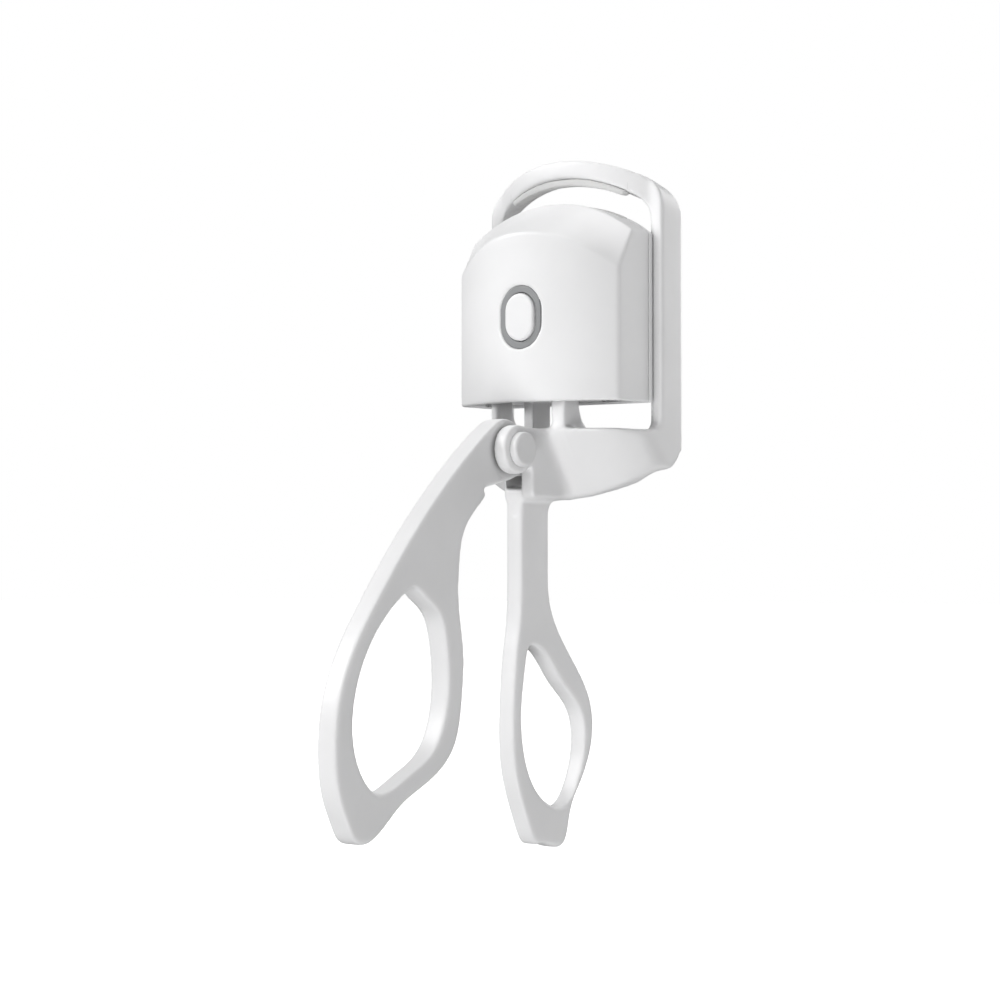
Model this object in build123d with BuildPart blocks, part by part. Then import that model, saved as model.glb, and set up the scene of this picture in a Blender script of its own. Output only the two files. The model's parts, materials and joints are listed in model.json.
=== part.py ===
from build123d import *
from math import cos, radians, sin, sqrt
import os

# Heated, rechargeable eyelash curler of the scissor type.
#
# Millimetres. +Z is up, -Y is the front with the power button, +Y faces the eye and X runs along
# the pivot pin. The origin is the middle of the fixed handle's finger loop. Most dimensions are
# given from the pivot axis, through the three planes that side, level and facing return.

# Where the pivot axis lies from the origin.
PIVOT = Vector(0, -14.0, 47.0)

# Pivot and lever.
PIN_R = 1.5
PIN_HEAD_R = 2.9
PIN_HEAD_T = 1.35
PIN_CAP_R = 2.2
PIN_CAP_T = 0.7
PIN_CLEARANCE = 0.05
EAR_R = 4.1
EAR_LEFT_R = 3.1
EAR_IN = 2.15
EAR_OUT = 4.75
KNUCKLE_R = 5.2
KNUCKLE_HALF = 1.9
RELIEF_R = 4.7
HANDLE_HALF = 2.1
LEVER_R = 11.0
LEVER_REST_DEG = -8.0
LEVER_HALF_HEIGHT = 2.3
LEVER_PIN_R = 0.8

# Head.
HEAD_HALF = 17.0
HEAD_FRONT = 5.8
HEAD_CORNER = 11.2
HEAD_BACK = 21.1
HEAD_BACK_MID = 20.3
HEAD_BOTTOM = 8.3
HEAD_TOP = 42.9
HEAD_SHOULDER = 37.2
BEVEL_TOP = 37.2
BEVEL_SIDE = 22.0
BEVEL_BACK = 15.0
HEAD_SOFT_R = 1.0
WALL = 1.1
BACK_T = 1.3
BASE_T = 1.3
STEM_HALF = 1.0
STEM_FRONT = 8.4
STEM_BACK = 13.4

# Button and its light ring.
BUTTON_Z = 22.8
BUTTON_W = 6.0
BUTTON_H = 8.1
RING_W = 8.5
RING_H = 10.8
BUTTON_PROUD = 0.2
BUTTON_TRAVEL = 0.4

# Fixed frame.
LOOP_OUT = 18.5
LOOP_BAR = 2.5
LOOP_FRONT_MID = 17.3
LOOP_FRONT = 21.5
LOOP_BACK_MID = 23.3
LOOP_BACK = 27.9
LOOP_TOP = 50.8
LOOP_TILT = 14.0
LOOP_CHAMFER = 2.0
FRAME_WALL = 2.3
FRAME_TOP = 3.8
FRAME_BOTTOM = -8.3
FRAME_SWEEP_MID = -8.35
FRAME_SWEEP_SIDE = -2.9
FRAME_FRONT = 6.2
FRAME_CORNER = 16.0
FRAME_LEAN = 34.0
RAIL_FRONT = 7.95
RAIL_BACK = 12.6
RAIL_TOP = 14.5
RAILS = ((-7.1, 0.8), (6.4, 1.5))
REAR_HALF = 1.8

# Curling pads.
PAD_HALF = 12.0
PAD_ARCH_R = 30.0
PAD_TOP = 43.0
JAW_OPEN = 3.3


def side(x):
    """Plane across the pin at x: sketch x is +Y and sketch y is +Z, from the pivot axis."""
    return Plane(origin=PIVOT + Vector(x, 0, 0), x_dir=(0, 1, 0), z_dir=(1, 0, 0))


def level(z):
    """Horizontal plane at height z: sketch x is +X and sketch y is +Y, from the pivot axis."""
    return Plane(origin=PIVOT + Vector(0, 0, z), x_dir=(1, 0, 0), z_dir=(0, 0, 1))


def facing(y):
    """Upright plane at depth y, seen from the front: sketch x is +X and sketch y is +Z."""
    return Plane(origin=PIVOT + Vector(0, y, 0), x_dir=(1, 0, 0), z_dir=(0, -1, 0))


def rod(r, x0, x1, y=0.0, z=0.0):
    """A round bar along X."""
    with BuildPart() as bar:
        with BuildSketch(side(x0)):
            with Locations((y, z)):
                Circle(r)
        extrude(amount=x1 - x0)
    return bar.part


def block(x, y, z):
    """A box from three (low, high) pairs, from the pivot axis."""
    with BuildPart() as box:
        with BuildSketch(level(z[0])):
            with Locations(((x[0] + x[1]) / 2, (y[0] + y[1]) / 2)):
                Rectangle(x[1] - x[0], y[1] - y[0])
        extrude(amount=z[1] - z[0])
    return box.part


def post(r, x, y, z0, z1):
    """A round bar along Z."""
    with BuildPart() as bar:
        with BuildSketch(level(z0)):
            with Locations((x, y)):
                Circle(r)
        extrude(amount=z1 - z0)
    return bar.part


def oval(width, height, y0, y1, z=BUTTON_Z):
    """An upright stadium-ended bar along Y, from y0 back to y1."""
    with BuildPart() as bar:
        with BuildSketch(facing(y1)):
            with Locations((0, z)):
                SlotOverall(height, width, rotation=90)
        extrude(amount=y1 - y0)
    return bar.part


def head_form(inset, bottom):
    """The head's outside, or its inside at a wall thickness of inset."""
    half = HEAD_HALF - inset
    corner = HEAD_CORNER + inset
    back = HEAD_BACK - inset
    low = BEVEL_SIDE - inset
    shoulder = HEAD_SHOULDER - inset
    with BuildPart() as form:
        with BuildSketch(facing(HEAD_FRONT)):
            with BuildLine():
                ThreePointArc((-half, low), (0, BEVEL_TOP - inset), (half, low))
                Polyline((half, low), (half, bottom), (-half, bottom), (-half, low))
            make_face()
        with BuildSketch(facing(BEVEL_BACK)) as rear:
            with BuildLine():
                ThreePointArc((-half, shoulder), (0, HEAD_TOP - inset), (half, shoulder))
                Polyline((half, shoulder), (half, bottom), (-half, bottom), (-half, shoulder))
            make_face()
        loft(ruled=True)
        extrude(rear.sketch, amount=HEAD_BACK + 1 - BEVEL_BACK, dir=(0, 1, 0))
        with BuildSketch(level(bottom)):
            with BuildLine():
                ThreePointArc((-half, corner), (0, HEAD_FRONT + inset), (half, corner))
                Line((half, corner), (half, back))
                ThreePointArc((half, back), (0, HEAD_BACK_MID - inset), (-half, back))
                Line((-half, back), (-half, corner))
            make_face()
        extrude(amount=HEAD_TOP - bottom, mode=Mode.INTERSECT)
    return form.part


def head_skin():
    """The head's outside with the two upright edges beside its front face rounded."""
    with BuildPart() as skin:
        add(head_form(0, HEAD_BOTTOM))
        corner = PIVOT.Y + HEAD_CORNER
        fillet(skin.edges().filter_by(lambda edge: abs(edge.center().Y - corner) < 0.1), radius=HEAD_SOFT_R)
    return skin.part


def pad_band(half, front, back, sag, z0, z1):
    """A band in plan that follows the lid: its middle is forward of its ends by sag."""
    with BuildPart() as band:
        with BuildSketch(level(z0)):
            with BuildLine():
                ThreePointArc((-half, front + sag), (0, front), (half, front + sag))
                Line((half, front + sag), (half, back + sag))
                ThreePointArc((half, back + sag), (0, back), (-half, back + sag))
                Line((-half, back + sag), (-half, front + sag))
            make_face()
        extrude(amount=z1 - z0)
    return band.part


def arch_layer(bottom, top):
    """A layer curved like the lid's edge in front view, as high at its ends as in the middle."""
    with BuildPart() as layer:
        with BuildSketch(facing(40)):
            with Locations((0, top - PAD_ARCH_R)):
                Circle(PAD_ARCH_R)
            with Locations((0, bottom - PAD_ARCH_R)):
                Circle(PAD_ARCH_R, mode=Mode.SUBTRACT)
        extrude(amount=40)
    return layer.part


def leaning_prism(inset, back):
    """The lower frame's curved front with round corners, leaning back on its way down."""
    half = LOOP_OUT - inset
    front = FRAME_FRONT + inset
    corner = FRAME_CORNER + inset
    lean = Vector(0, sin(radians(FRAME_LEAN)), -cos(radians(FRAME_LEAN)))
    with BuildPart() as prism:
        with BuildSketch(level(FRAME_TOP)) as plan:
            with BuildLine():
                ThreePointArc((-half, corner), (0, front), (half, corner))
                Polyline((half, corner), (half, back), (-half, back), (-half, corner))
            make_face()
            fillet(plan.vertices().group_by(Axis.Y)[0], radius=4.5 - inset)
        extrude(amount=(FRAME_TOP - FRAME_SWEEP_MID) / cos(radians(FRAME_LEAN)), dir=lean)
    return prism.part


def lower_frame():
    """The leaning wall, the ears that hold the pin and the floor between them, trimmed below."""
    with BuildPart() as lower:
        add(leaning_prism(0, LOOP_BACK))
        add(leaning_prism(FRAME_WALL, LOOP_BACK + 12), mode=Mode.SUBTRACT)
        add(block((-EAR_IN, EAR_IN), (0, 20), (FRAME_SWEEP_MID - 1, FRAME_TOP + 1)), mode=Mode.SUBTRACT)
        for ear, ear_r, ear_front in ((-EAR_OUT, EAR_LEFT_R, 4.4), (EAR_IN, EAR_R, 3.4)):
            with BuildSketch(side(ear)) as cheek:
                Polygon(
                    (0, ear_r),
                    (3.0, FRAME_TOP),
                    (8.0, FRAME_TOP),
                    (15.2, FRAME_BOTTOM),
                    (ear_front, FRAME_BOTTOM),
                    (ear_front, -2.0),
                    (0, -1.0),
                    align=None,
                )
                fillet(cheek.vertices().sort_by_distance((ear_front, FRAME_BOTTOM))[0], radius=1.5)
                Circle(ear_r)
            extrude(amount=EAR_OUT - EAR_IN)
        add(block((-EAR_OUT, EAR_OUT), (4.4, 14.6), (FRAME_BOTTOM, -6.3)))
        with BuildSketch(level(FRAME_BOTTOM - 1)):
            Polygon((-REAR_HALF, 4.0), (-EAR_OUT - 1, 10.6), (-EAR_OUT - 1, 4.0), align=None)
        extrude(amount=-EAR_LEFT_R - FRAME_BOTTOM + 0.8, mode=Mode.SUBTRACT)
        with BuildSketch(facing(LOOP_BACK + 12)):
            with BuildLine():
                ThreePointArc(
                    (-LOOP_OUT, FRAME_SWEEP_SIDE),
                    (0, FRAME_SWEEP_MID),
                    (LOOP_OUT, FRAME_SWEEP_SIDE),
                )
                Polyline(
                    (LOOP_OUT, FRAME_SWEEP_SIDE),
                    (LOOP_OUT, EAR_R),
                    (-LOOP_OUT, EAR_R),
                    (-LOOP_OUT, FRAME_SWEEP_SIDE),
                )
            make_face()
        extrude(amount=60, mode=Mode.INTERSECT)
        heel = (LOOP_BACK, FRAME_SWEEP_SIDE - 0.4)
        with BuildSketch(side(-20)) as profile:
            Polygon(
                (-10, EAR_R),
                (-10, heel[1] - 6.6),
                (heel[0] - 9, heel[1] - 6.6),
                (heel[0] - 6, heel[1]),
                heel,
                (LOOP_BACK, EAR_R),
                align=None,
            )
            fillet(profile.vertices().sort_by_distance(heel)[0], radius=5.8)
        extrude(amount=40, mode=Mode.INTERSECT)
    return lower.part


def is_window_back(edge, inside):
    """Whether an edge of the loop is one of those round the back of its window."""
    points = [edge.position_at(step) - PIVOT for step in (0.1, 0.5, 0.9)]
    behind = all(point.Y > LOOP_BACK_MID - 0.4 and abs(point.X) < inside + 0.05 for point in points)
    return behind and points[1].Z < LOOP_TOP - 3.5


def upper_loop():
    """The two posts and the arch over the head: a flat bar, its arch bulging to the front."""
    tilt = Vector(0, cos(radians(LOOP_TILT)), -sin(radians(LOOP_TILT)))
    inside = LOOP_OUT - LOOP_BAR
    shoulder_out = LOOP_TOP - 3.8
    shoulder_in = LOOP_TOP - 7.2
    loop_arch = LOOP_TOP - 3.0
    foot = FRAME_TOP - 1.0
    with BuildPart() as loop:
        with BuildSketch(facing(LOOP_FRONT_MID)) as outline:
            with BuildLine():
                ThreePointArc((-LOOP_OUT, shoulder_out), (0, LOOP_TOP), (LOOP_OUT, shoulder_out))
                Polyline(
                    (LOOP_OUT, shoulder_out),
                    (LOOP_OUT, foot),
                    (-LOOP_OUT, foot),
                    (-LOOP_OUT, shoulder_out),
                )
            make_face()
            fillet(outline.vertices().group_by(Axis.Y)[-1], radius=5.5)
            with BuildSketch(mode=Mode.SUBTRACT) as window:
                with BuildLine():
                    ThreePointArc((-inside, shoulder_in), (0, loop_arch), (inside, shoulder_in))
                    Polyline((inside, shoulder_in), (inside, -20), (-inside, -20), (-inside, shoulder_in))
                make_face()
                fillet(window.vertices().group_by(Axis.Y)[-1], radius=4.2)
        extrude(amount=16, dir=tilt)
        with BuildSketch(level(-20)):
            with BuildLine():
                Line((-LOOP_OUT, LOOP_FRONT), (-inside, LOOP_FRONT))
                ThreePointArc((-inside, LOOP_FRONT), (0, LOOP_FRONT_MID), (inside, LOOP_FRONT))
                Polyline((inside, LOOP_FRONT), (LOOP_OUT, LOOP_FRONT), (LOOP_OUT, LOOP_BACK))
                ThreePointArc((LOOP_OUT, LOOP_BACK), (0, LOOP_BACK_MID), (-LOOP_OUT, LOOP_BACK))
                Line((-LOOP_OUT, LOOP_BACK), (-LOOP_OUT, LOOP_FRONT))
            make_face()
        extrude(amount=90, mode=Mode.INTERSECT)
        around = loop.edges().filter_by(lambda edge: is_window_back(edge, inside))
        chamfer(around, length=LOOP_CHAMFER)
    return loop.part


def rear_handle():
    """The fixed handle: a straight stem and a drop-shaped finger loop."""
    with BuildPart() as handle:
        with BuildSketch(side(-REAR_HALF)):
            with BuildLine():
                Line((4.4, -20.0), (4.4, -6.3))
                Line((4.4, -6.3), (15.2, -6.3))
                Line((15.2, -6.3), (15.2, -7.6))
                RadiusArc((15.2, -7.6), (11.9, -11.0), -3.4)
                Line((11.9, -11.0), (11.9, -21.5))
                Spline(
                    (11.9, -21.5),
                    (15.5, -31.4),
                    (20.5, -37.3),
                    (24.3, -43.5),
                    (24.3, -50.8),
                    (20.6, -57.8),
                    (17.7, -64.0),
                    tangents=((0, -1), (-0.2, -1)),
                )
                Spline(
                    (17.7, -64.0),
                    (15.2, -67.5),
                    (10.6, -66.6),
                    (6.0, -62.6),
                    tangents=((-0.2, -1), (-0.45, 1)),
                )
                Spline(
                    (6.0, -62.6),
                    (2.9, -54.8),
                    (2.1, -46.0),
                    (3.2, -33.5),
                    (4.4, -20.0),
                    tangents=((-0.45, 1), (0, 1)),
                )
            make_face()
            with BuildLine() as hole:
                Spline(
                    (7.6, -32.9),
                    (9.9, -33.7),
                    (15.5, -39.2),
                    (21.5, -45.2),
                    (22.4, -50.0),
                    (20.2, -57.0),
                    (17.2, -60.3),
                    (11.7, -59.7),
                    (6.7, -54.7),
                    (4.5, -44.5),
                    (5.6, -36.4),
                    periodic=True,
                )
            make_face(mode=Mode.SUBTRACT)
        extrude(amount=2 * REAR_HALF)
    return handle.part


def front_handle_form():
    """The moving handle: a knuckle that fits between the ears, and a slightly thicker neck and loop."""
    knuckle_low = (1.0, -sqrt(KNUCKLE_R**2 - 1.0**2))
    knuckle_high = (-2.6, sqrt(KNUCKLE_R**2 - 2.6**2))
    cheek = HANDLE_HALF - KNUCKLE_HALF
    with BuildSketch() as outline:
        with BuildLine():
            Spline(
                knuckle_high,
                (-8.4, 0.5),
                (-16.7, -6.6),
                (-25.0, -15.0),
                (-32.7, -24.1),
                (-38.9, -32.6),
                (-42.5, -41.0),
                (-43.3, -48.5),
                (-42.4, -55.4),
                (-40.0, -60.6),
                (-37.0, -63.2),
                tangents=((-1, -0.55), (1, -0.15)),
            )
            Spline(
                (-37.0, -63.2),
                (-32.8, -61.9),
                (-27.6, -57.9),
                (-18.8, -53.5),
                (-13.8, -48.9),
                (-11.8, -41.0),
                (-11.4, -34.0),
                (-12.7, -25.0),
                (-12.4, -18.4),
                (-9.9, -11.9),
                (-5.6, -7.4),
                knuckle_low,
                tangents=((1, -0.15), (1, 0.2)),
            )
            ThreePointArc(knuckle_low, (KNUCKLE_R, 0), knuckle_high)
        make_face()
        with BuildLine():
            Spline(
                (-25.0, -23.2),
                (-31.1, -27.6),
                (-36.7, -35.2),
                (-39.0, -44.5),
                (-37.2, -51.6),
                (-33.0, -55.4),
                (-25.8, -53.2),
                (-19.2, -49.4),
                (-15.9, -42.5),
                (-15.9, -33.0),
                (-18.0, -27.2),
                (-21.5, -24.6),
                periodic=True,
            )
        make_face(mode=Mode.SUBTRACT)
    with BuildPart() as handle:
        with BuildSketch(side(-KNUCKLE_HALF)):
            add(outline.sketch)
        extrude(amount=2 * KNUCKLE_HALF)
        for x in (-HANDLE_HALF, KNUCKLE_HALF):
            with BuildSketch(side(x)):
                add(outline.sketch)
                Circle(RELIEF_R, mode=Mode.SUBTRACT)
                with Locations((-2.0, 0)):
                    Rectangle(20, 20, align=(Align.MIN, Align.CENTER), mode=Mode.SUBTRACT)
            extrude(amount=cheek)
    return handle.part


def rail(x, half):
    """One of the two guide rails that the head slides on, with a flared foot on the frame."""
    with BuildPart() as guide:
        with BuildSketch(side(x - half)):
            with BuildLine():
                Polyline(
                    (RAIL_BACK, 8.2),
                    (RAIL_BACK, RAIL_TOP),
                    (RAIL_FRONT, RAIL_TOP),
                    (RAIL_FRONT, 3.0),
                    (11.4, -2.0),
                    (15.4, -2.0),
                    (15.4, 3.8),
                )
                RadiusArc((15.4, 3.8), (RAIL_BACK, 8.2), 4.4)
            make_face()
        extrude(amount=2 * half)
    return guide.part


def post_foot(x):
    """The hollow curve with which a post of the loop grows out of the frame's side wall."""
    size = 1.7
    middle = size * (1 - cos(radians(45)))
    with BuildPart() as foot:
        with BuildSketch(side(x)):
            with BuildLine():
                ThreePointArc(
                    (LOOP_FRONT - size, FRAME_TOP),
                    (LOOP_FRONT - middle, FRAME_TOP + middle),
                    (LOOP_FRONT, FRAME_TOP + size),
                )
                Polyline(
                    (LOOP_FRONT, FRAME_TOP + size),
                    (LOOP_FRONT + 1, FRAME_TOP + size),
                    (LOOP_FRONT + 1, FRAME_TOP - 1),
                    (LOOP_FRONT - size, FRAME_TOP - 1),
                    (LOOP_FRONT - size, FRAME_TOP),
                )
            make_face()
        extrude(amount=LOOP_BAR)
    return foot.part


# ---------------------------------------------------------------- the fixed frame

with BuildPart() as frame:
    add(upper_loop())
    add(lower_frame())
    add(rear_handle())
    for x in (-LOOP_OUT, LOOP_OUT - LOOP_BAR):
        add(post_foot(x))
    for x, half in RAILS:
        add(rail(x, half))
    add(rod(PIN_R, -EAR_OUT - 1, EAR_OUT + 1), mode=Mode.SUBTRACT)
frame.part.label = "frame"

with BuildPart() as upper_pad:
    add(pad_band(PAD_HALF + 1, 18.0, 19.9, 1.9, 40, 50))
    add(arch_layer(PAD_TOP + JAW_OPEN, PAD_TOP + JAW_OPEN + 2.8), mode=Mode.INTERSECT)
    with BuildSketch(facing(40)):
        Polygon((-9.8, 42.5), (9.8, 42.5), (16.6, 48.5), (-16.6, 48.5), align=None)
    extrude(amount=40, mode=Mode.INTERSECT)
    add(upper_loop(), mode=Mode.SUBTRACT)
upper_pad.part.label = "upper_pad"

with BuildPart() as pivot_pin:
    add(rod(PIN_R, -EAR_OUT, EAR_OUT))
    add(rod(PIN_HEAD_R, EAR_OUT, EAR_OUT + PIN_HEAD_T))
    fillet(pivot_pin.faces().sort_by(Axis.X)[-1].edges(), radius=0.5)
pivot_pin.part.label = "pivot_pin"

with BuildPart() as pivot_cap:
    add(rod(PIN_CAP_R, -EAR_OUT - PIN_CAP_T, -EAR_OUT))
    fillet(pivot_cap.faces().sort_by(Axis.X)[0].edges(), radius=0.4)
pivot_cap.part.label = "pivot_cap"

# ---------------------------------------------------------------- the moving handle

lever_tip = (LEVER_R * cos(radians(LEVER_REST_DEG)), LEVER_R * sin(radians(LEVER_REST_DEG)))

with BuildPart() as front_handle:
    add(front_handle_form())
    with BuildSketch(side(-KNUCKLE_HALF)):
        with BuildLine():
            Polyline((0, -4.6), (0, 4.6), (lever_tip[0], lever_tip[1] + LEVER_HALF_HEIGHT))
            RadiusArc(
                (lever_tip[0], lever_tip[1] + LEVER_HALF_HEIGHT),
                (lever_tip[0], lever_tip[1] - LEVER_HALF_HEIGHT),
                LEVER_HALF_HEIGHT,
            )
            Line((lever_tip[0], lever_tip[1] - LEVER_HALF_HEIGHT), (0, -4.6))
        make_face()
    extrude(amount=2 * KNUCKLE_HALF)
    add(block((-STEM_HALF - 0.2, STEM_HALF + 0.2), (STEM_FRONT - 0.5, 16), (-8, 8)), mode=Mode.SUBTRACT)
    add(rod(PIN_R + PIN_CLEARANCE, -5, 5), mode=Mode.SUBTRACT)
    add(rod(LEVER_PIN_R, -5, 5, *lever_tip), mode=Mode.SUBTRACT)
front_handle.part.label = "front_handle"

with BuildPart() as drive_pin:
    add(rod(LEVER_PIN_R, -KNUCKLE_HALF, KNUCKLE_HALF, *lever_tip))
drive_pin.part.label = "drive_pin"

# ---------------------------------------------------------------- the sliding head

base_z = (HEAD_BOTTOM + 0.5, HEAD_BOTTOM + 0.5 + BASE_T)
pad_front = 17.2
pad_sag = 1.0
back_edge = HEAD_BACK - BACK_T + 0.7
board_y = (11.6, 12.6)
board_half = 13.2
board_z = (15.4, 32.4)
boss = (12.5, 14.7)
socket_y = 14.3
socket_z = 21.0

with BuildPart() as back_zone:
    with BuildSketch(level(HEAD_BOTTOM - 1)):
        with BuildLine():
            ThreePointArc((-20, back_edge), (0, HEAD_BACK_MID - BACK_T), (20, back_edge))
            Polyline((20, back_edge), (20, 30), (-20, 30), (-20, back_edge))
        make_face()
    extrude(amount=60)

with BuildPart() as pad_slot:
    add(pad_band(PAD_HALF + 0.2, pad_front - 0.2, 30, pad_sag, 30, 50))
    add(arch_layer(PAD_TOP - 6, PAD_TOP + 9), mode=Mode.INTERSECT)


def pad_seat_layer(bottom, top):
    """A curved layer of the stack in the head's upper back edge."""
    with BuildPart() as layer:
        add(head_form(0, HEAD_BOTTOM))
        add(pad_band(PAD_HALF, pad_front, 30, pad_sag, 30, 50), mode=Mode.INTERSECT)
        add(arch_layer(bottom, top), mode=Mode.INTERSECT)
    return layer.part


with BuildPart() as front_cover:
    add(head_skin())
    add(head_form(WALL, HEAD_BOTTOM - 1), mode=Mode.SUBTRACT)
    add(back_zone.part, mode=Mode.SUBTRACT)
    add(pad_slot.part, mode=Mode.SUBTRACT)
    add(oval(RING_W, RING_H, 0, 8.5), mode=Mode.SUBTRACT)
    for x, half in RAILS:
        groove = half + 0.25
        add(block((x - groove, x + groove), (RAIL_FRONT - 0.25, 20), (0, RAIL_TOP + 1)), mode=Mode.SUBTRACT)
    with BuildSketch(side(-HEAD_HALF - 1)):
        with Locations((socket_y, socket_z)):
            SlotOverall(9.4, 3.7, rotation=90)
    extrude(amount=4, mode=Mode.SUBTRACT)
front_cover.part.label = "front_cover"

with BuildPart() as rear_cover:
    add(head_skin())
    add(back_zone.part, mode=Mode.INTERSECT)
    add(pad_slot.part, mode=Mode.SUBTRACT)
rear_cover.part.label = "rear_cover"

with BuildPart() as base_cover:
    add(head_form(WALL + 0.1, base_z[0]))
    add(block((-20, 20), (0, 30), (base_z[1], 60)), mode=Mode.SUBTRACT)
    add(back_zone.part, mode=Mode.SUBTRACT)
    for x, half in RAILS:
        slot = half + 0.2
        add(block((x - slot, x + slot), (0, RAIL_BACK + 0.2), (0, 20)), mode=Mode.SUBTRACT)
    for x in (-boss[0], boss[0]):
        add(post(0.9, x, boss[1], 5, 20), mode=Mode.SUBTRACT)
    add(block((-STEM_HALF, STEM_HALF), (STEM_FRONT, STEM_BACK), (lever_tip[1] - 2.2, base_z[1])))
    with BuildSketch(side(-STEM_HALF)):
        with Locations(lever_tip):
            SlotOverall(2 * LEVER_PIN_R + 0.5, 2 * LEVER_PIN_R + 0.1)
    extrude(amount=2 * STEM_HALF, mode=Mode.SUBTRACT)
base_cover.part.label = "base_cover"

with BuildPart() as chassis:
    add(block((-board_half, board_half), (board_y[1] + 0.05, board_y[1] + 0.65), board_z))
    add(block((-14, -8.9), (12, 16), (socket_z - 4.6, socket_z + 4.6)), mode=Mode.SUBTRACT)
    for x in (-boss[0], boss[0]):
        add(post(1.8, x, boss[1], base_z[1], board_z[0] + 0.6))
        add(post(0.75, x, boss[1], base_z[1], board_z[0]), mode=Mode.SUBTRACT)
chassis.part.label = "chassis"

with BuildPart() as cover_screws:
    for x in (-boss[0], boss[0]):
        add(post(0.75, x, boss[1], base_z[0], base_z[1] + 4))
        add(post(1.4, x, boss[1], base_z[0] - 0.4, base_z[0]))
cover_screws.part.label = "cover_screws"

with BuildPart() as circuit_board:
    add(block((-board_half, board_half), board_y, board_z))
circuit_board.part.label = "circuit_board"

with BuildPart() as tact_switch:
    add(block((-2.2, 2.2), (board_y[0] - 1.6, board_y[0]), (BUTTON_Z - 2.2, BUTTON_Z + 2.2)))
    add(oval(2.0, 2.4, board_y[0] - 2.1, board_y[0] - 1.6))
tact_switch.part.label = "tact_switch"

with BuildPart() as status_lights:
    for x in (-6.0, 6.0):
        add(block((x - 0.8, x + 0.8), (board_y[0] - 0.7, board_y[0]), (BUTTON_Z - 0.5, BUTTON_Z + 0.5)))
status_lights.part.label = "status_lights"

with BuildPart() as control_chip:
    add(block((-3.0, 3.0), (board_y[0] - 1.0, board_y[0]), (27.8, 31.4)))
control_chip.part.label = "control_chip"

with BuildPart() as light_ring:
    add(oval(RING_W, RING_H, HEAD_FRONT + 0.35, HEAD_FRONT + 1.9))
    add(oval(BUTTON_W + 0.3, BUTTON_H + 0.3, 5, 9), mode=Mode.SUBTRACT)
light_ring.part.label = "light_ring"

with BuildPart() as charging_socket:
    with BuildSketch(side(-HEAD_HALF + 0.3)):
        with Locations((socket_y, socket_z)):
            SlotOverall(9.0, 3.3, rotation=90)
            SlotOverall(8.4, 2.7, rotation=90, mode=Mode.SUBTRACT)
    extrude(amount=7.2)
    with BuildSketch(side(-HEAD_HALF + 6.6)):
        with Locations((socket_y, socket_z)):
            SlotOverall(9.0, 3.3, rotation=90)
    extrude(amount=0.9)
    tongue_x = (-HEAD_HALF + 1.5, -HEAD_HALF + 7.5)
    add(block(tongue_x, (socket_y - 0.3, socket_y + 0.3), (socket_z - 3.2, socket_z + 3.2)))
charging_socket.part.label = "charging_socket"

with BuildPart() as battery:
    add(block((-8.4, 12.4), (board_y[1] + 0.9, 17.2), (16.4, 33.6)))
    fillet(battery.edges().filter_by(Axis.Z), radius=1.6)
battery.part.label = "battery"

with BuildPart() as lower_pad:
    add(pad_seat_layer(PAD_TOP - 1.6, PAD_TOP))
lower_pad.part.label = "lower_pad"

with BuildPart() as heater:
    add(pad_seat_layer(PAD_TOP - 2.2, PAD_TOP - 1.6))
heater.part.label = "heater"

with BuildPart() as heater_holder:
    add(pad_seat_layer(PAD_TOP - 6, PAD_TOP - 2.2))
heater_holder.part.label = "heater_holder"

with BuildPart() as power_button:
    add(oval(BUTTON_W, BUTTON_H, HEAD_FRONT - BUTTON_PROUD, HEAD_FRONT + 2.6))
    fillet(power_button.faces().sort_by(Axis.Y)[0].edges(), radius=0.4)
    add(oval(BUTTON_W + 1.6, BUTTON_H + 1.6, HEAD_FRONT + 2.0, HEAD_FRONT + 2.6))
    add(oval(2.4, 3.0, HEAD_FRONT + 2.6, board_y[0] - 2.15 - BUTTON_TRAVEL))
power_button.part.label = "power_button"

os.makedirs("parts", exist_ok=True)
for piece in (
    frame,
    upper_pad,
    pivot_pin,
    pivot_cap,
    front_handle,
    drive_pin,
    front_cover,
    rear_cover,
    base_cover,
    chassis,
    cover_screws,
    circuit_board,
    tact_switch,
    status_lights,
    control_chip,
    light_ring,
    charging_socket,
    battery,
    lower_pad,
    heater,
    heater_holder,
    power_button,
):
    export_step(piece.part, f"parts/{piece.part.label}.step")
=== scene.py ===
import bmesh
import bpy
import json
from math import cos, radians, sin
from mathutils import Matrix, Vector


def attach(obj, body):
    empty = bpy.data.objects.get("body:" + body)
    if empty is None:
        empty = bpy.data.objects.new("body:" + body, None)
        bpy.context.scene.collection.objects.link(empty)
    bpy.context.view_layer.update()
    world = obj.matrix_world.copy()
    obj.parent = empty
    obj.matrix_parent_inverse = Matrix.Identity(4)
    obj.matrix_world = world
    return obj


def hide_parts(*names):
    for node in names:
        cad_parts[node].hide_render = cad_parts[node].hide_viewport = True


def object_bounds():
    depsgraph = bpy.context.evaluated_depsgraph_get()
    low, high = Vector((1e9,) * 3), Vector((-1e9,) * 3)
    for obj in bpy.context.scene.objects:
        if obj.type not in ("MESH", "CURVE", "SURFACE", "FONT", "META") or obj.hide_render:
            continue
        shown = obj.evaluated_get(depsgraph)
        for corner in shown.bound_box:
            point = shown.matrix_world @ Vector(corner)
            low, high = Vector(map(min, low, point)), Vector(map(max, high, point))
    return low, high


# Heated eyelash curler: the moulded shells with soft edges, the button, the pin, the pads, the
# floor, the lights and the camera. Metres, in the CAD frame: +X along the pivot pin, -Y the
# button's side, +Z up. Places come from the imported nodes, their box and the joints; only the
# camera's is given.

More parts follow.
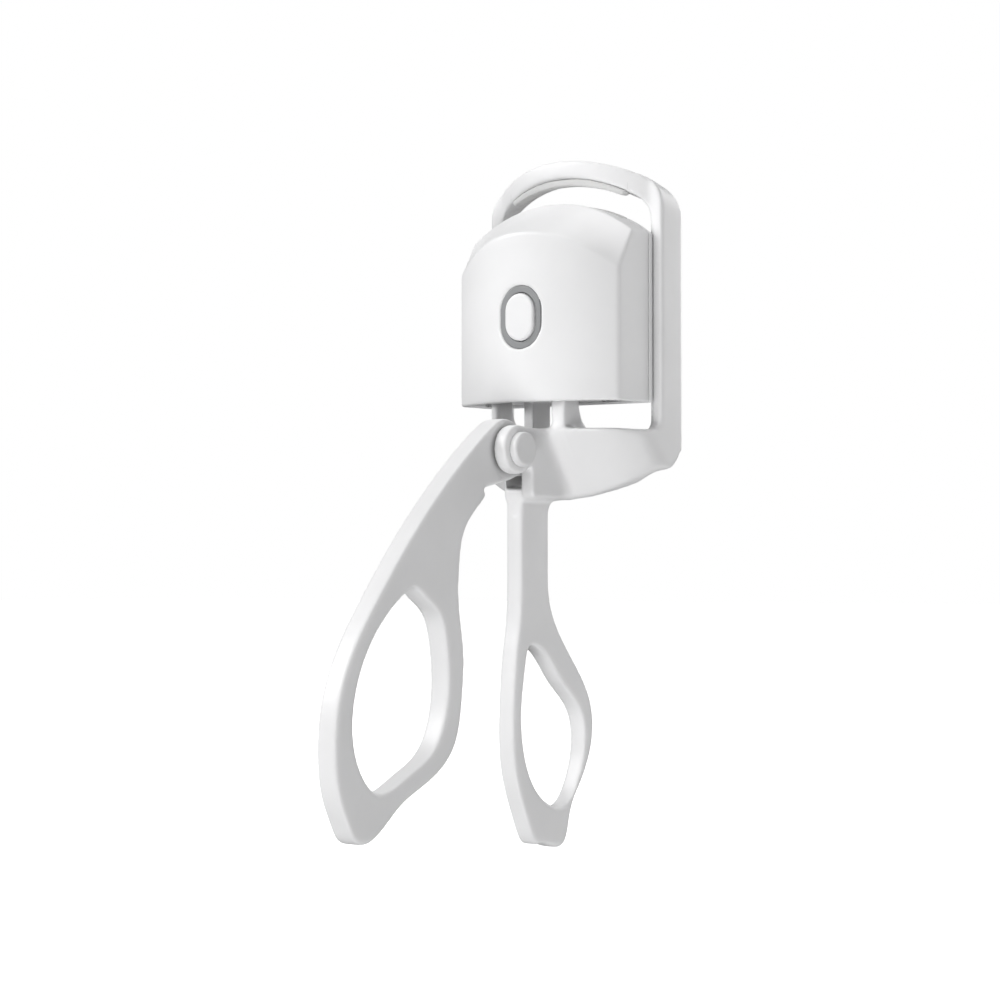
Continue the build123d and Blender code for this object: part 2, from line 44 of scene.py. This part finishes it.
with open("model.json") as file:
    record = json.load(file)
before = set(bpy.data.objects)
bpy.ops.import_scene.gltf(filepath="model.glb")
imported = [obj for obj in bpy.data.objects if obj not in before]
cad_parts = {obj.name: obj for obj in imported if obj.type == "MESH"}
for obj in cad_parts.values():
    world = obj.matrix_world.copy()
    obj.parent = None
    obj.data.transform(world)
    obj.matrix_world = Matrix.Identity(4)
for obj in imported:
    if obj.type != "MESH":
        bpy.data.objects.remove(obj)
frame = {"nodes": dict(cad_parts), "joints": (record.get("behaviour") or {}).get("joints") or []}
cad_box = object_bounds()
nodes = frame["nodes"]
joints = {joint["name"]: joint for joint in frame["joints"]}
MM = 0.001
PIVOT = Vector(joints["handle_pivot"]["pos_m"])
GAP_REACH = 0.007
FLOOR_HALF = 3.0
VIEW_TURN = 38.0
VIEW_RISE = 1.45
VIEW_FROM = (0.287006, -0.380806, 0.026819)
LIGHT_AWAY = 0.9
SOFT_BOX = 0.45
ROOM_LIGHT = 0.13


# ---------------------------------------------------------------- materials

def new_material(name):
    """An empty node material, its tree and its principled shader."""
    material = bpy.data.materials.new(name)
    material.use_nodes = True
    tree = material.node_tree
    tree.nodes.clear()
    output = tree.nodes.new("ShaderNodeOutputMaterial")
    shader = tree.nodes.new("ShaderNodeBsdfPrincipled")
    tree.links.new(shader.outputs["BSDF"], output.inputs["Surface"])
    return material, tree, shader


def noise_node(tree, scale, detail=3.0, roughness=0.5):
    """Noise in object space: scale is in cycles per metre."""
    place = tree.nodes.new("ShaderNodeTexCoord")
    texture = tree.nodes.new("ShaderNodeTexNoise")
    texture.inputs["Scale"].default_value = scale
    texture.inputs["Detail"].default_value = detail
    texture.inputs["Roughness"].default_value = roughness
    tree.links.new(place.outputs["Object"], texture.inputs["Vector"])
    return texture.outputs["Fac"]


def ramp(tree, source, stops):
    """A colour ramp over a value: stops are (position, colour)."""
    node = tree.nodes.new("ShaderNodeValToRGB")
    elements = node.color_ramp.elements
    while len(elements) < len(stops):
        elements.new(0.5)
    for element, (position, colour) in zip(elements, stops):
        element.position = position
        element.color = (*colour, 1.0)
    tree.links.new(source, node.inputs["Fac"])
    return node.outputs["Color"]


def spread(tree, source, low, high):
    """Maps a value from 0.3-0.7 to low-high."""
    node = tree.nodes.new("ShaderNodeMapRange")
    node.inputs["From Min"].default_value = 0.3
    node.inputs["From Max"].default_value = 0.7
    node.inputs["To Min"].default_value = low
    node.inputs["To Max"].default_value = high
    tree.links.new(source, node.inputs["Value"])
    return node.outputs["Result"]


def bump(tree, source, depth, under=None):
    """A bump of this depth in metres, over another bump if one is given."""
    node = tree.nodes.new("ShaderNodeBump")
    node.inputs["Strength"].default_value = 1.0
    node.inputs["Distance"].default_value = depth
    tree.links.new(source, node.inputs["Height"])
    if under is not None:
        tree.links.new(under, node.inputs["Normal"])
    return node.outputs["Normal"]


def paint_gap_shade(tree, tone, reach, least):
    """Painted shade: darkens a colour in corners and narrow gaps, where little light gets in."""
    hidden = tree.nodes.new("ShaderNodeAmbientOcclusion")
    hidden.samples = 8
    hidden.inputs["Distance"].default_value = reach
    span = tree.nodes.new("ShaderNodeMapRange")
    span.inputs["From Min"].default_value = 0.05
    span.inputs["From Max"].default_value = 0.75
    span.inputs["To Min"].default_value = least
    span.inputs["To Max"].default_value = 1.0
    scaled = tree.nodes.new("ShaderNodeVectorMath")
    scaled.operation = "SCALE"
    tree.links.new(hidden.outputs["AO"], span.inputs["Value"])
    tree.links.new(tone, scaled.inputs[0])
    tree.links.new(span.outputs["Result"], scaled.inputs["Scale"])
    return scaled.outputs["Vector"]


def plastic(name, light, dark, rough, grain, grain_depth, flow_depth=0.0, shade_tone=1.0, ior=1.46):
    """Moulded plastic: slow colour drift, smudged roughness, tool-steel grain and faint flow waves, and
    painted shade in gaps and corners when a shade tone below 1 is given.
    """
    material, tree, shader = new_material(name)
    tone = ramp(tree, noise_node(tree, 90.0, 4.0), ((0.35, dark), (0.65, light)))
    # painted shade: ambient occlusion darkens the base colour itself in gaps and corners
    if shade_tone < 1.0:
        tone = paint_gap_shade(tree, tone, GAP_REACH, shade_tone)
    tree.links.new(tone, shader.inputs["Base Color"])
    tree.links.new(spread(tree, noise_node(tree, 160.0, 5.0, 0.65), *rough), shader.inputs["Roughness"])
    normal = bump(tree, noise_node(tree, grain, 2.0), grain_depth)
    if flow_depth:
        normal = bump(tree, noise_node(tree, 130.0, 1.0), flow_depth, under=normal)
    tree.links.new(normal, shader.inputs["Normal"])
    shader.inputs["IOR"].default_value = ior
    return material


def metal(name, light, dark, rough, grain, grain_depth):
    """Brushed or plated metal with fine scratches."""
    material, tree, shader = new_material(name)
    tone = ramp(tree, noise_node(tree, 400.0, 4.0), ((0.3, dark), (0.7, light)))
    tree.links.new(tone, shader.inputs["Base Color"])
    tree.links.new(spread(tree, noise_node(tree, 900.0, 4.0), *rough), shader.inputs["Roughness"])
    tree.links.new(bump(tree, noise_node(tree, grain, 3.0), grain_depth), shader.inputs["Normal"])
    shader.inputs["Metallic"].default_value = 1.0
    return material


# The shells' finish, and painted shade in their gaps and corners that darkens the colour to half at most.
SHELL_FINISH_AND_SHADE = {
    "rough": (0.33, 0.43), "grain": 5200.0, "grain_depth": 0.000004, "flow_depth": 0.00001, "shade_tone": 0.5,
}
WHITE = plastic("white_abs", (0.90, 0.90, 0.905), (0.87, 0.87, 0.875), **SHELL_FINISH_AND_SHADE)
# The front handle's copy of the white is painted a little darker, as shade; the plastic is the same as the
# shells'.
LEVER_SHADED_WHITE = plastic("white_abs_lever_shaded", (0.865, 0.865, 0.87), (0.835, 0.835, 0.84), **SHELL_FINISH_AND_SHADE)
BUTTON = plastic("button_abs", (0.90, 0.90, 0.905), (0.88, 0.88, 0.885), (0.36, 0.46), 7000.0, 0.000005)
RING = plastic("light_guide", (0.30, 0.305, 0.31), (0.27, 0.275, 0.28), (0.38, 0.5), 6000.0, 0.000004)
PIN = plastic("pin_acetal", (0.86, 0.86, 0.865), (0.83, 0.83, 0.835), (0.34, 0.44), 6000.0, 0.000004)
PAD = plastic(
    "pad_silicone", (0.74, 0.74, 0.735), (0.70, 0.70, 0.695), (0.55, 0.7), 4200.0, 0.000008, ior=1.41
)
INNER = plastic("inner_plastic", (0.62, 0.62, 0.60), (0.57, 0.57, 0.55), (0.5, 0.62), 4500.0, 0.000008)
BOARD = plastic("board_mask", (0.05, 0.24, 0.12), (0.035, 0.19, 0.09), (0.28, 0.4), 3000.0, 0.00001)
CHIP = plastic("chip_epoxy", (0.03, 0.03, 0.032), (0.018, 0.018, 0.02), (0.55, 0.7), 9000.0, 0.000008)
LENS = plastic("led_lens", (0.86, 0.84, 0.68), (0.8, 0.78, 0.6), (0.15, 0.25), 3000.0, 0.000002)
CELL = plastic("cell_film", (0.50, 0.55, 0.62), (0.42, 0.46, 0.52), (0.3, 0.45), 1500.0, 0.00003)
STEEL = metal("steel", (0.62, 0.62, 0.63), (0.52, 0.52, 0.53), (0.22, 0.36), 6000.0, 0.000004)
HEATER = metal("heater_film", (0.76, 0.52, 0.24), (0.62, 0.40, 0.18), (0.3, 0.45), 3000.0, 0.000006)

CAD_LOOKS = {
    "chassis": INNER, "heater_holder": INNER, "heater": HEATER, "circuit_board": BOARD,
    "tact_switch": CHIP, "control_chip": CHIP, "status_lights": LENS, "charging_socket": STEEL,
    "battery": CELL, "cover_screws": STEEL, "drive_pin": STEEL,
}
for node, material in CAD_LOOKS.items():
    nodes[node].data.materials.clear()
    nodes[node].data.materials.append(material)


# ---------------------------------------------------------------- moulded shells

def shade_smooth(piece):
    for face in piece.data.polygons:
        face.use_smooth = True


def take_in(piece, body, node, material):
    """Puts a piece on its body, in the place of its CAD node."""
    piece.data.materials.clear()
    piece.data.materials.append(material)
    shade_smooth(piece)
    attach(piece, body)
    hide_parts(node)


def moulded(node, name, voxel, rounds, dents=(), blends=()):
    """A copy of a CAD node as it leaves the mould: even mesh, edges rounded by rounds of smoothing."""
    source = nodes[node]
    piece = bpy.data.objects.new(name, source.data.copy())
    bpy.context.scene.collection.objects.link(piece)
    remesh = piece.modifiers.new("remesh", "REMESH")
    remesh.mode = "VOXEL"
    remesh.voxel_size = voxel
    smooth = piece.modifiers.new("smooth", "SMOOTH")
    smooth.factor = 0.5
    smooth.iterations = rounds
    depsgraph = bpy.context.evaluated_depsgraph_get()
    mesh = bpy.data.meshes.new_from_object(piece.evaluated_get(depsgraph))
    piece.modifiers.clear()
    piece.data = mesh
    for start, end, reach, more in blends:
        blend_along(piece, PIVOT + Vector(start) * MM, PIVOT + Vector(end) * MM, reach * MM, more)
    for centre, normal, radius, depth in dents:
        press_dent(piece.data, PIVOT + Vector(centre) * MM, Vector(normal), radius * MM, depth * MM)
    return piece


def blend_along(piece, start, end, reach, rounds):
    """Rounds the shape further near the line from start to end, fading out at reach."""
    group = piece.vertex_groups.new(name="near_line")
    along = end - start
    low = Vector(map(min, start, end)) - Vector((reach, reach, reach))
    high = Vector(map(max, start, end)) + Vector((reach, reach, reach))
    for vertex in piece.data.vertices:
        spot = vertex.co
        if not all(low[i] < spot[i] < high[i] for i in range(3)):
            continue
        step = min(1.0, max(0.0, (spot - start).dot(along) / along.length_squared))
        near = 1.0 - (spot - start - along * step).length / reach
        if near > 0:
            group.add([vertex.index], near * near * (3 - 2 * near), "REPLACE")
    smooth = piece.modifiers.new("smooth", "SMOOTH")
    smooth.factor = 0.5
    smooth.iterations = rounds
    smooth.vertex_group = group.name
    depsgraph = bpy.context.evaluated_depsgraph_get()
    mesh = bpy.data.meshes.new_from_object(piece.evaluated_get(depsgraph))
    piece.modifiers.clear()
    piece.vertex_groups.clear()
    piece.data = mesh


def press_dent(mesh, centre, normal, radius, depth):
    """A round, soft-edged dent such as an ejector pin leaves."""
    for vertex in mesh.vertices:
        away = vertex.co - centre
        if abs(away.dot(normal)) > 0.0006:
            continue
        reach = (away - normal * away.dot(normal)).length / radius
        if reach < 1.25:
            edge = min(1.0, max(0.0, (1.25 - reach) / 0.35))
            vertex.co -= normal * depth * edge * edge * (3 - 2 * edge)


# The frame's ejector mark: centre from the pivot, facing, radius and depth, in mm.
FRAME_DENTS = (((0.0, 4.4, -10.4), (0, -1, 0), 0.7, 0.12),)
# Where the frame's ears and posts run softly into the wall: start, end and reach in mm, rounds.
FRAME_BLENDS = (
    ((5.0, 6.8, 3.6), (5.0, 14.6, -8.2), 3.4, 160),
    ((17.5, 16.0, 3.6), (17.5, 20.0, -3.0), 5.0, 160),
)
take_in(
    moulded("frame", "frame_shell", 0.27 * MM, 22, dents=FRAME_DENTS, blends=FRAME_BLENDS),
    "frame", "frame", WHITE,
)

# CAD node, name of the piece, voxel in mm, rounds of smoothing, body, material, slot.
SHELLS = (
    ("front_handle", "front_handle_shell", 0.27, 22, "front_handle", LEVER_SHADED_WHITE, "white_shell"),
    ("front_cover", "front_cover_shell", 0.22, 16, "head", WHITE, "white_shell"),
    ("rear_cover", "rear_cover_shell", 0.22, 7, "head", WHITE, "white_shell"),
    ("base_cover", "base_cover_shell", 0.25, 4, "head", WHITE, "white_shell"),
    ("upper_pad", "upper_pad_soft", 0.2, 3, "frame", PAD, "pad_silicone"),
    ("lower_pad", "lower_pad_soft", 0.2, 3, "head", PAD, "pad_silicone"),
    ("pivot_pin", "pivot_pin_head", 0.12, 4, "frame", PIN, "pin_plastic"),
    ("pivot_cap", "pivot_cap_shell", 0.12, 4, "frame", PIN, "pin_plastic"),
    ("power_button", "power_button_cap", 0.12, 5, "power_button", BUTTON, "button_cap"),
    ("light_ring", "light_ring_guide", 0.1, 3, "head", RING, "light_ring"),
)
for node, piece_name, voxel, rounds, body, material, slot in SHELLS:
    take_in(moulded(node, piece_name, voxel * MM, rounds), body, node, material)


# ---------------------------------------------------------------- stage, light and camera

def floor():
    """A plain pale, flat sheet. It casts no shadow, because the three low lights stand below it."""
    mesh = bmesh.new()
    low = cad_box[0].z
    half = FLOOR_HALF
    square = ((-half, -half), (half, -half), (half, half), (-half, half))
    mesh.faces.new([mesh.verts.new((x, y, low)) for x, y in square])
    data = bpy.data.meshes.new("floor")
    mesh.to_mesh(data)
    mesh.free()
    sheet = bpy.data.objects.new("floor", data)
    bpy.context.scene.collection.objects.link(sheet)
    material, tree, shader = new_material("floor_paper")
    tone = ramp(tree, noise_node(tree, 8.0, 3.0), ((0.3, (0.90, 0.90, 0.90)), (0.7, (0.93, 0.93, 0.93))))
    tree.links.new(tone, shader.inputs["Base Color"])
    shader.inputs["Roughness"].default_value = 0.9
    shader.inputs["Specular IOR Level"].default_value = 0.1
    shader.inputs["Emission Color"].default_value = (1.0, 1.0, 1.0, 1.0)
    shader.inputs["Emission Strength"].default_value = 1.0
    data.materials.append(material)
    sheet.visible_diffuse = False
    sheet.visible_glossy = False
    sheet.visible_shadow = False


def area_light(name, place, aim, size, power):
    """A square soft box at place, aimed at a point."""
    data = bpy.data.lights.new(name, "AREA")
    data.shape = "RECTANGLE"
    data.size, data.size_y = size
    data.energy = power
    light = bpy.data.objects.new(name, data)
    bpy.context.scene.collection.objects.link(light)
    light.location = place
    light.rotation_mode = "QUATERNION"
    light.rotation_quaternion = (Vector(aim) - Vector(place)).to_track_quat("-Z", "Y")


def aside(turn, rise):
    """A direction turned from the main view's, and raised, in degrees."""
    a, e = radians(VIEW_TURN + turn), radians(rise)
    return Vector((sin(a) * cos(e), -cos(a) * cos(e), sin(e)))


def camera():
    """The long view from the front and the right side, a little below the pivot."""
    turn, rise = radians(VIEW_TURN), radians(VIEW_RISE)
    right = Vector((cos(turn), sin(turn), 0.0))
    ahead = Vector((-sin(turn) * cos(rise), cos(turn) * cos(rise), sin(rise)))
    data = bpy.data.cameras.new("camera")
    data.sensor_width = 36.0
    data.lens = 100.0
    data.clip_start, data.clip_end = 0.01, 20.0
    eye = bpy.data.objects.new("camera", data)
    bpy.context.scene.collection.objects.link(eye)
    basis = Matrix((right, right.cross(ahead), -ahead)).transposed()
    eye.matrix_world = Matrix.Translation(Vector(VIEW_FROM)) @ basis.to_4x4()
    bpy.context.scene.camera = eye


def studio():
    """A white room: the light that it gives is softer than the white that is seen."""
    world = bpy.data.worlds.new("studio")
    world.use_nodes = True
    tree = world.node_tree
    seen = tree.nodes["Background"]
    seen.inputs["Color"].default_value = (1.0, 1.0, 1.0, 1.0)
    given = tree.nodes.new("ShaderNodeBackground")
    given.inputs["Strength"].default_value = ROOM_LIGHT
    path = tree.nodes.new("ShaderNodeLightPath")
    mix = tree.nodes.new("ShaderNodeMixShader")
    tree.links.new(path.outputs["Is Camera Ray"], mix.inputs["Fac"])
    tree.links.new(given.outputs["Background"], mix.inputs[1])
    tree.links.new(seen.outputs["Background"], mix.inputs[2])
    tree.links.new(mix.outputs["Shader"], tree.nodes["World Output"].inputs["Surface"])
    bpy.context.scene.world = world


floor()
middle = (cad_box[0] + cad_box[1]) / 2
for name, turn, rise, power in (
    ("low_front", -15, -35, 5.1),
    ("low_right", 45, -35, 0.8),
    ("left", -88, 30, 5.1),
    ("front_left", -40, 30, 1.0),
    ("right", 80, 30, 0.75),
    ("low_back_right", 110, -30, 0.9),
):
    area_light(name, middle + aside(turn, rise) * LIGHT_AWAY, middle, (SOFT_BOX, SOFT_BOX), power)
area_light("near_back_right", middle + aside(125, 20) * 0.3, middle, (0.18, 0.18), 0.31)
area_light("top", middle + Vector((0, 0, LIGHT_AWAY)), middle, (0.6, 0.6), 3.8)
camera()
studio()

bpy.context.scene.view_settings.view_transform = "Standard"
